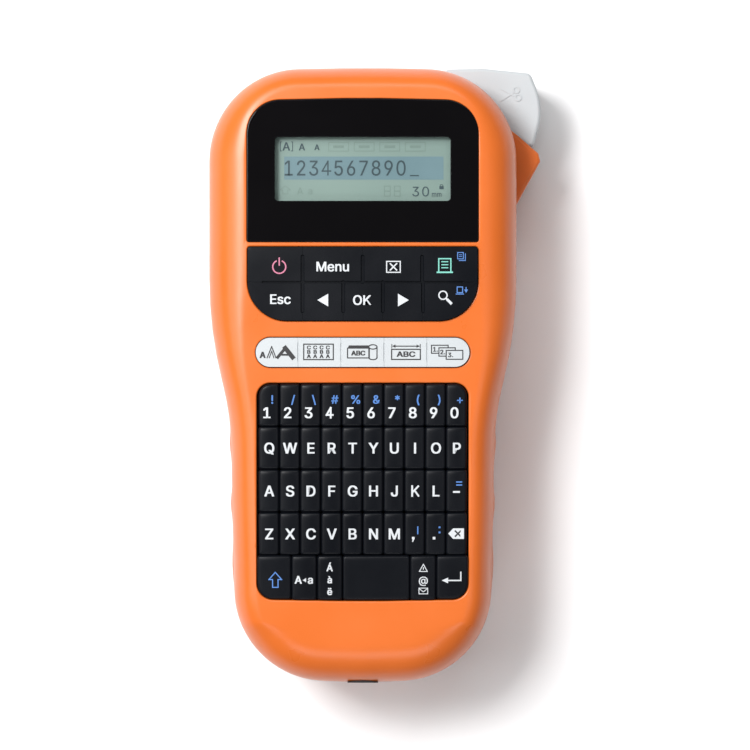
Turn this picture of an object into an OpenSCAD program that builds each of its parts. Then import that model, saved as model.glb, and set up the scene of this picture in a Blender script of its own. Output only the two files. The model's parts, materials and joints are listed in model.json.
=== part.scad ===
// Hand-held label maker, lying on its back.
// Frame: X to the right, Y up the body towards the display, Z out of the key face.
// The origin lies on the back rest face, on the centre plane, at mid-length.

/* [Body] */
// Half width of the body at the display end
head_half = 51.8; // [50:0.1:54]
// Half width of the body at the grip
grip_half = 44.5; // [43:0.1:46]
// Half length of the body
body_half_len = 103.5; // [102:0.5:105]
// Radius of the four corners in plan
corner_r = 31; // [28:0.5:32]
// Height of the front face above the rest face
face_z = 57.5; // [56:0.5:59]
// Height of the parting line between front and rear shell
parting_z = 30; // [29:0.5:31]
// Height of the parting line between rear shell and back cover
cover_z = 6.5; // [6:0.1:7]
// Wall thickness of the shells
wall = 2.2; // [1.8:0.1:2.4]

/* [Display] */
// Half width of the display window
window_half = 38.4; // [36:0.1:39]
// Lower edge of the display window
window_low = 44.2; // [43.5:0.1:45]
// Upper edge of the display window
window_top = 91.9; // [90:0.1:92.5]
// Half width of the clear part over the display
lcd_half = 29.1; // [27:0.1:30]
// Lower edge of the clear part
lcd_low = 57.8; // [57:0.1:59]
// Upper edge of the clear part
lcd_top = 79.0; // [77:0.1:80]

/* [Keys] */
// Travel of a key
key_travel = 0.8; // [0.5:0.1:1]
// Gap between neighbouring keys
key_gap = 0.3; // [0.2:0.05:0.5]
// Pitch of the letter keys across the body
letter_pitch = 6.9; // [6.8:0.05:7]
// Pitch of the letter rows along the body
row_pitch = 14.2; // [14:0.05:14.4]
// Upper edge of the keyboard opening
board_top = -2.8; // [-3.5:0.1:-2]
// Upper edge of the navigation keys
nav_top = 42.5; // [42:0.1:43]
// Line between the two rows of navigation keys
nav_mid = 30.85; // [30:0.05:32]
// Lower edge of the navigation keys
nav_low = 18.1; // [17.5:0.1:19]
// Centre of the function strip along the body
strip_y = 7.6; // [7:0.1:8]
// Half height of the function strip
strip_r = 4.85; // [4.5:0.05:5]
// Half width of the function strip
strip_half = 35.4; // [34:0.1:36]

/* [Cutter] */
// Pivot of the cutter lever
lever_pivot = [33.2, 90];
// Direction of the tape at the exit, in degrees
tape_angle = -29; // [-31:0.5:-27]
// Centre of the tape exit
tape_exit = [55.9, 64.9];
// Width of the tape
tape_w = 12; // [6:1:12]
// Height of the tape's centre line above the rest face
tape_z = 15; // [15:0.1:15.2]

/* [Drive] */
// Module of the gears
gear_m = 0.6; // [0.6:0.1:0.6]
// Teeth of the platen gear
platen_teeth = 20; // [20:1:20]
// Teeth of the idler gear
idler_teeth = 30; // [30:1:30]
// Teeth of the motor pinion
pinion_teeth = 12; // [12:1:12]
// Teeth of the ribbon spindle gear
spindle_teeth = 24; // [24:1:24]

/* [Power] */
// Radius of the recess that takes the power plug
jack_r = 5.2; // [5:0.1:5.5]
// Radius of an AAA cell
cell_r = 5.25; // [5.2:0.05:5.25]
// Length of an AAA cell
cell_len = 44.5; // [44:0.5:44.5]

/* [Hidden] */
nav_names = ["power", "menu", "clear", "print", "escape", "left", "ok", "right", "search"];
strip_names = ["text_size", "symbols", "cable_wrap", "fixed_length", "numbering"];
bottom_names = ["shift", "capitals", "accents", "space", "symbol", "enter"];
row_names = ["digits", "upper", "home", "lower"];
key_nodes = [for (list = [nav_names, strip_names, bottom_names]) for (name = list) str("key_", name)];
row_nodes = [for (name = row_names) str("keys_", name)];
other_nodes = [
    "front_shell", "rear_shell", "back_cover", "chassis", "housing_screws",
    "display_window", "window_pane", "lcd_panel", "lcd_holder", "lcd_flex",
    "main_board", "key_membrane", "key_backspace",
    "cutter_lever", "cutter_pin", "cutter_blade", "cutter_anvil", "cutter_spring",
    "print_head", "head_heat_sink", "head_carrier", "head_hinge_pin",
    "platen_roller", "platen_gear", "drive_motor", "motor_pinion", "idler_gear", "idler_post",
    "ribbon_spindle", "tape_cassette", "tape_roll", "label_tape",
    "battery_cells", "battery_contacts", "dc_jack"
];

shell_colour = "#f07a2c";
key_colour = "#25272b";
white_colour = "#e8ecee";
window_r = 11.2;
nav_r = 13.2;
key_base_z = 51.5;
shell_inner_z = face_z - wall;
board_z = 48;
board_t = 1.6;
floor_z = 24;
floor_t = 1.6;
gear_z = 26.4;
gear_t = 3.6;
lever_low = 8.4;
lever_high = 29.7;
screw_places = [[-40, 24], [40, 24], [-30, -86], [30, -86], [-30, 93.5], [13, 96]];
board_low = board_top - 5 * row_pitch - 0.9;
platen_r = 4.1;
platen_shaft_r = 1.5;
spindle_r = 3;
post_r = 3.1;
screw_r = 1.3;
pin_r = 1.5;
pin_post_z = 34.5;
bend_sides = 12;

// ---- plan outlines ----

// Slack at each flank of a gear tooth
backlash = 0.055;

// Unit vector along v
function unit(v) = v / norm(v);

// Arc that rounds corner b of the path a, b, c with radius r, as [point, outward normal] pairs
function rounded_corner(a, b, c, r, n) =
    let (
        u = unit(a - b),
        v = unit(c - b),
        half = acos(u * v) / 2,
        turn = sign(cross(b - a, c - b)),
        centre = b + unit(u + v) * r / sin(half),
        first = b + u * r / tan(half) - centre,
        start = atan2(first.y, first.x),
        sweep = turn * (180 - 2 * half)
    )
    [for (i = [0:n])
        let (dir = [cos(start + sweep * i / n), sin(start + sweep * i / n)])
        [centre + r * dir, turn * dir]];

// Closed path through the corners [x, y, radius, steps], counter-clockwise, with outward normals
function rounded_path(corners) =
    let (count = len(corners))
    [for (i = [0:count - 1])
        let (
            a = corners[(i + count - 1) % count],
            b = corners[i],
            c = corners[(i + 1) % count]
        )
        each rounded_corner([a.x, a.y], [b.x, b.y], [c.x, c.y], b[2], b[3])];

// Points of a rounded path
function points_of(path) = [for (p = path) p[0]];

// Right half of the body's corners, from the bottom centre to the top centre
right_corners = [
    [grip_half - 1.6, -body_half_len + 2.2, corner_r, bend_sides],
    [grip_half - 1.1, -70, 400, 1],
    [grip_half - 0.5, -45, 900, 1],
    [grip_half, -13.7, 95, 4],
    [head_half, 15, 140, 4],
    [head_half, body_half_len - 0.9, corner_r, bend_sides]
];
body_corners = concat(
    [[0, -body_half_len - 0.3, 200, 2]],
    right_corners,
    [[0, body_half_len + 0.1, 400, 2]],
    [for (i = [len(right_corners) - 1:-1:0])
        let (c = right_corners[i])
        [-c.x, c.y, c[2], c[3]]]
);
body_path = rounded_path(body_corners);

// Ring of the body's skin, inset from the plan outline, at height z
function ring(inset, z) = [for (p = body_path) [p[0].x - p[1].x * inset, p[0].y - p[1].y * inset, z]];

// Closed skin through rings, from the lowest to the highest
module skin(rings) {
    n = len(rings[0]);
    sides = [for (k = [0:len(rings) - 2]) for (i = [0:n - 1])
        let (j = (i + 1) % n)
        each [[k * n + i, k * n + n + j, k * n + j], [k * n + i, k * n + n + i, k * n + n + j]]];
    low = [for (i = [0:n - 1]) i];
    high = [for (i = [n - 1:-1:0]) (len(rings) - 1) * n + i];
    polyhedron([for (r = rings) each r], concat(sides, [low, high]));
}

// A moulded shell: its freeform skin and all its cuts are one surface at nominal size
module moulding() {
    color(shell_colour) resize([0, 0, 0]) union() children();
}

// Quarter-ellipse edge: inset at fraction f of the drop, 0 at the straight side and 1 at the face
function edge_inset(f, depth) = depth * (1 - sqrt(1 - f * f));

edge_steps = [0, 0.3, 0.55, 0.75, 0.88, 0.96, 1];
front_depth = 8;
front_drop = 12;
back_depth = 7;
back_drop = 9;

module front_skin(offset_in, top) {
    skin(concat(
        [ring(offset_in, parting_z - (offset_in > 0 ? 1 : 0))],
        [for (f = edge_steps) ring(offset_in + edge_inset(f, front_depth), top - front_drop + front_drop * f)]
    ));
}

module back_skin(offset_in, bottom, top) {
    skin(concat(
        [for (i = [len(edge_steps) - 1:-1:0])
            let (f = edge_steps[i])
            ring(offset_in + edge_inset(f, back_depth), bottom + back_drop - back_drop * f)],
        [ring(offset_in, top)]
    ));
}

module body_plan(inset) {
    polygon([for (p = body_path) p[0] - p[1] * inset]);
}

// Rectangle from low to high with one radius for the upper and one for the lower corners
module rounded_box(low, high, r_top, r_low) {
    low_steps = r_low > 3 ? 6 : 2;
    top_steps = r_top > 3 ? 6 : 2;
    polygon(points_of(rounded_path([
        [low.x, low.y, r_low, low_steps], [high.x, low.y, r_low, low_steps],
        [high.x, high.y, r_top, top_steps], [low.x, high.y, r_top, top_steps]
    ])));
}

module window_plan(grow) {
    rounded_box([-window_half - grow, window_low - grow], [window_half + grow, window_top + grow],
        window_r + grow, 0.8);
}

module nav_plan(grow) {
    rounded_box([-38.1 - grow, nav_low - grow], [38.1 + grow, nav_top + grow], 0.8, nav_r + grow);
}

module strip_plan(grow) {
    rounded_box([-strip_half - grow, strip_y - strip_r - grow], [strip_half + grow, strip_y + strip_r + grow],
        strip_r + grow - 0.01, strip_r + grow - 0.01);
}

module board_plan(grow) {
    rounded_box([-34.9 - grow, board_low - grow], [34.9 + grow, board_top + grow], 4.3 + grow, 5.3 + grow);
}

module drilled(places, r, z, h) {
    for (p = places) {
        translate([p.x, p.y, z]) cylinder(r = r, h = h, $fn = 32);
    }
}

// ---- frame of the tape: along the tape, across it, and up ----

module at_tape(back) {
    translate([tape_exit.x, tape_exit.y, 0]) rotate([0, 0, tape_angle]) translate([-back, 0, 0]) children();
}

function tape_point(back, up) =
    tape_exit - back * [cos(tape_angle), sin(tape_angle)] + up * [-sin(tape_angle), cos(tape_angle)];

platen_at = tape_point(27, -platen_r - 0.3);
hinge_at = tape_point(35.5, 4);
beak_corners = [
    [44, 58, 1.6, 2], [51.7, 56.75, 3, 3], [60.8, 73.3, 1.6, 4], [60.1, 76, 1.6, 3],
    [53, 82.2, 12, 3], [48.8, 85.5, 1.6, 2], [44, 85, 1.6, 2]
];
lever_corners = [
    [28.2, 90, 4.9, 6], [28.4, 84.9, 4.4, 6], [44, 84.2, 4, 3], [50.6, 82.2, 4, 3], [58.3, 77.7, 1.5, 4],
    [61.2, 88.4, 18, 4], [60.6, 95.8, 18, 3], [57.5, 103.7, 2.4, 4], [41, 105.4, 12, 3], [28, 105.1, 1.5, 4]
];

beak_wall = 1.5;
lever_wall = 1.3;

module lever_plan(inset) {
    polygon([for (p = rounded_path(lever_corners)) p[0] - p[1] * inset]);
}

// Room that the lever sweeps, with clearance
module lever_room(z0, z1) {
    translate([0, 0, z0]) linear_extrude(z1 - z0)
        polygon([[24.5, 110], [24.5, 99], [27.2, 94], [27.6, 88.5], [29, 84.2], [43, 83], [42.6, 79],
            [49, 70.5], [53.5, 69.8], [58.3, 74.2], [61, 80], [70, 90], [66, 110]]);
}

// ---- housing ----

module jack_hole() {
    translate([0, -body_half_len - 5, parting_z]) rotate([-90, 0, 0]) cylinder(r = 6.3, h = 12, $fn = 48);
    translate([0, -body_half_len - 14.6, 20]) cylinder(r = 16, h = 32, $fn = 96);
}

module front_shell() {
    moulding() {
        difference() {
            front_skin(0, face_z);
            front_skin(wall, shell_inner_z);
            translate([0, 0, face_z - 1.3]) linear_extrude(5) window_plan(0.15);
            translate([0, 0, face_z - 5]) linear_extrude(9) window_plan(-1.6);
            translate([0, 0, face_z - 5]) linear_extrude(9) nav_plan(0.3);
            translate([0, 0, face_z - 5]) linear_extrude(9) strip_plan(0.3);
            translate([0, 0, face_z - 5]) linear_extrude(9) board_plan(0.35);
            jack_hole();
        }
        difference() {
            union() {
                drilled(screw_places, post_r, parting_z + 1, shell_inner_z + 0.4 - parting_z - 1);
                drilled([lever_pivot], post_r, pin_post_z, shell_inner_z + 0.4 - pin_post_z);
            }
            drilled(screw_places, screw_r + 0.05, parting_z, 14);
            drilled([lever_pivot], pin_r + 0.02, pin_post_z - 1, 5);
        }
    }
}

module beak_plan(inset) {
    polygon([for (p = rounded_path(beak_corners)) p[0] - p[1] * inset]);
}

module rear_shell() {
    moulding() difference() {
        union() {
            difference() {
                back_skin(0, 0, parting_z - 0.1);
                back_skin(wall, wall, parting_z + 1);
                translate([-80, -120, -1]) cube([160, 240, cover_z + 1.1]);
            }
            translate([0, 0, cover_z + 0.1]) linear_extrude(parting_z - cover_z - 0.2) beak_plan(0);
            difference() {
                translate([0, 0, parting_z - 1]) linear_extrude(3) beak_plan(0);
                translate([0, 0, parting_z - 2]) linear_extrude(6) body_plan(-0.3);
            }
        }
        translate([0, 0, lever_low - 0.4]) linear_extrude(parting_z - lever_low + 0.4) beak_plan(beak_wall);
        translate([0, 0, lever_low - 0.4]) linear_extrude(30) intersection() {
            beak_plan(-4);
            body_plan(1.6);
        }
        lever_room(lever_low - 0.4, parting_z + 0.15);
        at_tape(0) translate([-8, -1.5, tape_z - tape_w / 2 - 0.7]) cube([14, 3, tape_w + 1.4]);
        jack_hole();
    }
}

module back_cover() {
    moulding() difference() {
        union() {
            difference() {
                back_skin(0, 0, cover_z + 4);
                back_skin(wall, wall, cover_z + 5);
                translate([-80, -120, cover_z]) cube([160, 240, 20]);
            }
            for (x = [-30, -8, 14]) {
                translate([x, 36, wall - 0.5]) cube([1.2, 44, 4.2]);
            }
            for (x = [-22.4, 0, 22.4]) {
                translate([x - 0.6, -68, wall - 0.5]) cube([1.2, 38, 2]);
            }
        }
        translate([-9, -101, -1]) cube([18, 1.2, 5]);
        translate([-10.2, -101, -1]) cube([1.2, 12, 5]);
        translate([9, -101, -1]) cube([1.2, 12, 5]);
    }
}

module chassis() {
    color("#4a4d52") difference() {
        union() {
            translate([0, 0, floor_z]) linear_extrude(floor_t) difference() {
                intersection() {
                    body_plan(wall + 0.3);
                    translate([-60, 19]) square([120, 90]);
                }
                polygon([[27.2, 110], [27.2, 87.5], [27.7, 87], [27.7, 84.3], [39.8, 82.1], [39.5, 76],
                    [40, 69.5], [60, 50], [70, 110]]);
            }
            translate([-46.4, 31.6, cover_z + 1]) cube([72, 1.2, floor_z - cover_z - 0.5]);
            translate([-46.4, 31.6, cover_z + 1]) cube([1.2, 50, floor_z - cover_z - 0.5]);
            translate([0, 0, 16.4]) linear_extrude(1.6) rounded_box([-36, -77], [36, -20], 2, 2);
            for (y = [-77, -21.2]) {
                translate([-36, y, 4]) cube([72, 1.2, 13]);
            }
            for (x = [-36, 34.8]) {
                translate([x, -77, 4]) cube([1.2, 57, 13]);
            }
            for (x = [-38, 36.8]) {
                translate([x, -20.6, 16.4]) cube([1.2, 40.6, 9.2]);
            }
            translate([-38, -20.6, 16.4]) cube([76, 1.2, 1.6]);
            for (p = [screw_places[2], screw_places[3]]) {
                translate([p.x, p.y, floor_z]) cylinder(r = 4, h = floor_t, $fn = 32);
                translate([p.x - 2, p.y, floor_z]) cube([4, 12, floor_t]);
                translate([p.x - 2, p.y + 8.6, 16.4]) cube([4, 3.4, floor_z - 16]);
            }
            translate([roll_at.x, roll_at.y, 20.5]) cylinder(r = 2, h = 4, $fn = 32);
        }
        drilled(screw_places, screw_r + 0.3, floor_z - 1, 6);
        drilled([platen_at], platen_shaft_r + 0.06, floor_z - 1, 4);
        drilled([spindle_at], spindle_r + 0.06, floor_z - 1, 4);
    }
}

module housing_screws() {
    color("silver") {
        drilled(screw_places, 2.7, floor_z - 1.8, 1.8);
        drilled(screw_places, screw_r, floor_z - 0.2, 16);
    }
}

// ---- display ----

module display_window() {
    color("black") translate([0, 0, face_z - 1.25]) linear_extrude(1.6) difference() {
        window_plan(0);
        rounded_box([-lcd_half, lcd_low], [lcd_half, lcd_top], 1.2, 1.2);
    }
}

module window_pane() {
    color("lightcyan", 0.3) translate([0, 0, face_z - 1.25]) linear_extrude(1.0)
        rounded_box([-lcd_half, lcd_low], [lcd_half, lcd_top], 1.2, 1.2);
}

module lcd_panel() {
    color("#a0b4a8") translate([-32, 53.5, 52.2]) cube([64, 30, 2.6]);
}

module lcd_holder() {
    color("#d8d8d0") translate([0, 0, board_z + board_t]) linear_extrude(5.6) difference() {
        rounded_box([-35, 51], [35, 86], 1.5, 1.5);
        rounded_box([-32.2, 53.3], [32.2, 83.7], 0.5, 0.5);
    }
}

module lcd_flex() {
    color("#b5762a") translate([-12, 0, 0]) rotate([90, 0, 90]) linear_extrude(24)
        polygon([[56, 51.9], [56, 52.1], [60, 52.1], [60, 49.75], [59.8, 49.75], [59.8, 51.9]]);
}

module main_board() {
    color("#2c6b43") difference() {
        translate([0, 0, board_z]) linear_extrude(board_t) difference() {
            intersection() {
                body_plan(wall + 1.6);
                translate([-60, -80]) square([120, 178]);
            }
            translate([9, 91]) square([60, 20]);
            translate([-36, 88]) square([12, 20]);
        }
        drilled(concat(screw_places, [lever_pivot]), post_r + 0.5, board_z - 1, 4);
    }
}

module key_membrane() {
    color("#5a5d60") translate([0, 0, board_z + board_t]) linear_extrude(0.9) union() {
        rounded_box([-36.4, 13], [36.4, 43], 2, 2);
        rounded_box([-36, -77], [36, 14], 2, 2);
    }
}

// ---- keys ----

// A key fills its plan up to the rim, with a slightly smaller cap on top
module key_cap(low, high, top, r = 0.8) {
    g = key_gap / 2;
    a = low + [g, g];
    b = high - [g, g];
    translate([0, 0, key_base_z]) linear_extrude(top - 0.5 - key_base_z) rounded_box(a, b, r, r);
    translate([0, 0, top - 0.6]) linear_extrude(0.6) rounded_box(a + [0.5, 0.5], b - [0.5, 0.5], r, r);
}

// Key cut to the outline of its group
module trimmed_key(low, high, top) {
    intersection() {
        key_cap(low, high, top);
        translate([0, 0, key_base_z - 1]) linear_extrude(20) children();
    }
}

nav_top_edges = [-39, -19.9, 0, 19.7, 39];
nav_low_edges = [-39, -19.9, -6.4, 6.7, 20, 39];
strip_edges = [-36, -21.4, -7.2, 7.1, 21.3, 36];
bottom_edges = [-34.9, -23.6, -15.1, -6.6, 15.7, 24.4, 34.9];
keys_top_z = 58.4;
letters_top_z = 59;

module nav_key(i) {
    lower = i > 3;
    edges = lower ? nav_low_edges : nav_top_edges;
    k = lower ? i - 4 : i;
    color(key_colour) trimmed_key(
        [edges[k], lower ? nav_low - 0.5 : nav_mid], [edges[k + 1], lower ? nav_mid : nav_top + 0.5], keys_top_z
    ) nav_plan(0);
}

module strip_key(i) {
    color(white_colour) trimmed_key(
        [strip_edges[i], strip_y - strip_r - 0.5], [strip_edges[i + 1], strip_y + strip_r + 0.5], keys_top_z
    ) strip_plan(0);
}

function row_top(row) = board_top - row * row_pitch;

module letter_key(row, column) {
    x = (column - 5) * letter_pitch;
    low = [x, row_top(row + 1)];
    high = [x + letter_pitch, row_top(row)];
    if (row == 0 && (column == 0 || column == 9)) {
        trimmed_key(low, high, letters_top_z) board_plan(0);
    } else {
        key_cap(low, high, letters_top_z);
    }
}

module letter_row(row, count) {
    color(key_colour) for (column = [0:count - 1]) {
        letter_key(row, column);
    }
}

module bottom_key(i) {
    color(key_colour) trimmed_key(
        [bottom_edges[i], board_low - 0.5], [bottom_edges[i + 1], row_top(4)], letters_top_z
    ) board_plan(0);
}

// ---- cutter ----

module cutter_lever() {
    arm = [tape_point(13.6, 5.2), tape_point(10.4, 5.2), tape_point(9.6, 15), tape_point(14, 15)];
    color(white_colour) difference() {
        union() {
            difference() {
                translate([0, 0, lever_low]) linear_extrude(lever_high - lever_low) lever_plan(0);
                translate([0, 0, lever_low - 1]) linear_extrude(lever_high - lever_low - 0.8) lever_plan(lever_wall);
            }
            translate([0, 0, lever_low]) linear_extrude(tape_w + 3) polygon(arm);
            translate([lever_pivot.x, lever_pivot.y, lever_low]) cylinder(r = 3.4, h = 20, $fn = 48);
        }
        translate([lever_pivot.x, lever_pivot.y, 0]) cylinder(r = pin_r + 0.05, h = 60, $fn = 48);
        at_tape(12) translate([-0.35, 4, 0]) cube([0.7, 5, 30]);
    }
}

module cutter_pin() {
    low = lever_low - 0.3;
    color("silver") translate([lever_pivot.x, lever_pivot.y, low])
        cylinder(r = pin_r, h = pin_post_z + 3.5 - low, $fn = 48);
}

module cutter_blade() {
    color("silver") at_tape(12) translate([-0.3, 4.3, tape_z - tape_w / 2 - 0.5]) cube([0.6, 4.6, tape_w + 1]);
}

module cutter_anvil() {
    color("silver") at_tape(14.1) translate([-1.5, -3.6, lever_low - 0.3]) cube([3, 2.6, floor_z - lever_low + 0.3]);
}

module cutter_spring() {
    color("silver") translate([lever_pivot.x, lever_pivot.y, parting_z + 0.5]) {
        for (k = [0:2]) {
            translate([0, 0, 0.8 * k]) rotate_extrude($fn = 48) translate([2.6, 0]) circle(r = 0.42, $fn = 16);
        }
        translate([-12, 2.6, 1.6]) rotate([0, 90, 0]) cylinder(r = 0.4, h = 12, $fn = 16);
    }
}

// ---- print mechanism ----

module head_carrier() {
    color("#4a4d52") {
        difference() {
            union() {
                at_tape(34.4) translate([0, 3.3, 8.5]) cube([12, 1.4, 13]);
                translate([hinge_at.x, hinge_at.y, 8.5]) cylinder(r = 1.9, h = 13, $fn = 32);
            }
            translate([hinge_at.x, hinge_at.y, 0]) cylinder(r = 0.95, h = 40, $fn = 32);
        }
    }
}

module head_hinge_pin() {
    color("silver") translate([hinge_at.x, hinge_at.y, 8]) cylinder(r = 0.9, h = floor_z - 8, $fn = 32);
}

module head_heat_sink() {
    color("#b8bcc0") at_tape(32) translate([0, 2.1, 8.5]) cube([9.5, 1.2, 13]);
}

module print_head() {
    color("#d9d4c4") at_tape(31) {
        translate([0, 1.1, 8.5]) cube([8, 1, 13]);
        translate([3.4, 0.5, 8.5]) cube([1.2, 0.7, 13]);
    }
}

module platen_roller() {
    color("#2a2a2c") translate([platen_at.x, platen_at.y, 8.6]) difference() {
        cylinder(r = platen_r, h = 12.8, $fn = 64);
        translate([0, 0, -1]) cylinder(r = platen_shaft_r, h = 16, $fn = 48);
    }
}

// ---- gears ----

function involute(base, a) = base * [cos(a) + a * PI / 180 * sin(a), sin(a) - a * PI / 180 * cos(a)];

// Involute spur gear in plan: teeth, with a small backlash
module gear_plan(teeth) {
    pitch_r = gear_m * teeth / 2;
    base_r = pitch_r * cos(20);
    tip_r = pitch_r + 0.85 * gear_m;
    root_r = pitch_r - 1.2 * gear_m;
    half_tooth = 90 / teeth - backlash / pitch_r * 180 / PI;
    lean = (tan(20) - 20 * PI / 180) * 180 / PI;
    last = sqrt(pow(tip_r / base_r, 2) - 1) * 180 / PI;
    flank = [for (k = [0:3]) involute(base_r, last * k / 3)];
    radii = [for (p = flank) norm(p)];
    angles = [for (p = flank) half_tooth + lean - atan2(p.y, p.x)];
    polygon([for (t = [0:teeth - 1])
        let (mid = 360 * t / teeth)
        each concat(
            [[root_r * cos(mid - half_tooth - lean), root_r * sin(mid - half_tooth - lean)]],
            [for (k = [0:3]) max(radii[k], root_r) * [cos(mid - angles[k]), sin(mid - angles[k])]],
            [for (k = [3:-1:0]) max(radii[k], root_r) * [cos(mid + angles[k]), sin(mid + angles[k])]],
            [[root_r * cos(mid + half_tooth + lean), root_r * sin(mid + half_tooth + lean)]]
        )]);
}

function gear_distance(a, b) = gear_m * (a + b) / 2 + 0.08;
idler_line = 198;
pinion_line = 80;
spindle_line = 200;
idler_at = platen_at + gear_distance(platen_teeth, idler_teeth) * [cos(idler_line), sin(idler_line)];
pinion_at = idler_at + gear_distance(pinion_teeth, idler_teeth) * [cos(pinion_line), sin(pinion_line)];
spindle_at = idler_at + gear_distance(spindle_teeth, idler_teeth) * [cos(spindle_line), sin(spindle_line)];

// Turn of a gear that meshes with the idler, whose centre lies at angle line from the idler's
function mesh_turn(line, teeth) = line + 180 + 180 / teeth + line * idler_teeth / teeth;

module gear(place, teeth, turn, bore) {
    translate([place.x, place.y, gear_z]) rotate([0, 0, turn]) linear_extrude(gear_t) difference() {
        gear_plan(teeth);
        circle(r = bore, $fn = 32);
    }
}

module platen_gear() {
    color("#d8d4c8") gear(platen_at, platen_teeth, mesh_turn(idler_line + 180, platen_teeth), 1.4);
    color("silver") translate([platen_at.x, platen_at.y, 8.2]) cylinder(r = platen_shaft_r - 0.02, h = 23, $fn = 48);
}

module motor_pinion() {
    color("#c8a24a") gear(pinion_at, pinion_teeth, mesh_turn(pinion_line, pinion_teeth), 1.06);
}

module idler_gear() {
    color("#d8d4c8") gear(idler_at, idler_teeth, 0, 1.56);
}

module idler_post() {
    color("silver") translate([idler_at.x, idler_at.y, floor_z + floor_t]) cylinder(r = 1.5, h = 5.4, $fn = 48);
}

module ribbon_spindle() {
    color("#d8d4c8") {
        gear(spindle_at, spindle_teeth, mesh_turn(spindle_line, spindle_teeth), 2.5);
        translate([spindle_at.x, spindle_at.y, 9.5]) {
            cylinder(r = spindle_r, h = gear_z + gear_t - 9.5, $fn = 48);
            for (k = [0:5]) {
                rotate([0, 0, 60 * k]) translate([2.5, -0.4, 0]) cube([1.1, 0.8, 12]);
            }
        }
    }
}

module drive_motor() {
    color("silver") translate([pinion_at.x, pinion_at.y, 0]) {
        translate([0, 0, 31]) cylinder(r = 9.6, h = 15.5, $fn = 64);
        translate([0, 0, 30.4]) cylinder(r = 2.4, h = 1, $fn = 32);
        translate([0, 0, gear_z + 0.1]) cylinder(r = 1, h = 6, $fn = 32);
    }
}

// ---- cassette ----

roll_at = [-24, 61];
roll_r = 17.6;

module tape_cassette() {
    color("#3a3c40") difference() {
        translate([0, 0, 7]) linear_extrude(16.2) rounded_box([-44, 34], [24, 87], 5, 5);
        translate([0, 0, 8.2]) linear_extrude(13.8) rounded_box([-42.6, 35.4], [22.6, 85.6], 4, 4);
        translate([spindle_at.x, spindle_at.y, 5]) cylinder(r = 5, h = 20, $fn = 48);
        translate([20, 80.8, 8.2]) cube([8, 4.4, 13.8]);
        translate([roll_at.x, roll_at.y, 20]) cylinder(r = 2.3, h = 5, $fn = 48);
    }
    color("#3a3c40") translate([roll_at.x, roll_at.y, 8]) difference() {
        cylinder(r = 4, h = 14.4, $fn = 48);
        translate([0, 0, 10]) cylinder(r = 2.3, h = 7, $fn = 48);
    }
}

module tape_roll() {
    color("#f2f0e8") translate([roll_at.x, roll_at.y, tape_z - tape_w / 2]) difference() {
        cylinder(r = roll_r, h = tape_w, $fn = 96);
        translate([0, 0, -1]) cylinder(r = 4.06, h = tape_w + 2, $fn = 48);
    }
}

module label_tape() {
    free = tape_point(14.9 + 1.2, 0);
    bend = tape_point(40, 0);
    start = roll_at + [3, roll_r + 0.8];
    t = 0.1;
    up = [-sin(tape_angle), cos(tape_angle)];
    color("#f2f0e8") translate([0, 0, tape_z - tape_w / 2]) linear_extrude(tape_w)
        polygon([free - t * up, free + t * up, bend + t * up, start + [0, t], start - [0, t], bend - t * up]);
}

// ---- power ----

cell_places = [for (k = [0:5]) (k - 2.5) * 11.2];

module battery_cells() {
    color("#8a8f96") for (k = [0:5]) {
        translate([cell_places[k], -26.6, 9.8]) rotate([k % 2 == 0 ? 90 : -90, 0, 0])
            translate([0, 0, k % 2 == 0 ? 0 : -cell_len]) {
                cylinder(r = cell_r, h = cell_len - 0.8, $fn = 48);
                translate([0, 0, cell_len - 0.9]) cylinder(r = 1.9, h = 0.9, $fn = 32);
            }
    }
}

module battery_contacts() {
    color("silver") for (k = [0:5]) {
        spring_y = k % 2 == 0 ? -26.4 : -71.3;
        out = k % 2 == 0 ? 1 : -1;
        nub_y = k % 2 == 0 ? -74.6 : -26.4;
        for (y = [-23.3, -74.9]) {
            translate([cell_places[k] - 4.6, y, 5]) cube([9.2, 0.4, 9.6]);
        }
        translate([cell_places[k], nub_y, 9.8]) rotate([-90, 0, 0]) cylinder(r = 1.6, h = 3.3, $fn = 32);
        for (j = [0:3]) {
            translate([cell_places[k], spring_y + out * (0.5 + 0.75 * j), 9.8]) rotate([90, 0, 0])
                rotate_extrude($fn = 32) translate([2.4 + 0.35 * j, 0]) circle(r = 0.42, $fn = 16);
        }
    }
}

module dc_jack() {
    collar_len = 8;
    mouth = -body_half_len + 0.1;
    bore_depth = 6;
    pin_start = bore_depth + 0.8;
    color("#202124") difference() {
        union() {
            translate([0, mouth, parting_z]) rotate([-90, 0, 0]) cylinder(r = 6.2, h = collar_len, $fn = 64);
            translate([-7, mouth + collar_len - 0.5, parting_z - 6.2]) cube([14, 9, 12.4]);
        }
        translate([0, mouth - 1, parting_z]) rotate([-90, 0, 0]) cylinder(r = jack_r, h = bore_depth + 1, $fn = 64);
        translate([0, mouth, parting_z]) rotate([-90, 0, 0]) cylinder(r = 2.8, h = collar_len + 6, $fn = 48);
    }
    color("silver") translate([0, mouth + pin_start, parting_z]) rotate([-90, 0, 0])
        cylinder(r = 0.85, h = 8.2, $fn = 32);
}

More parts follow.
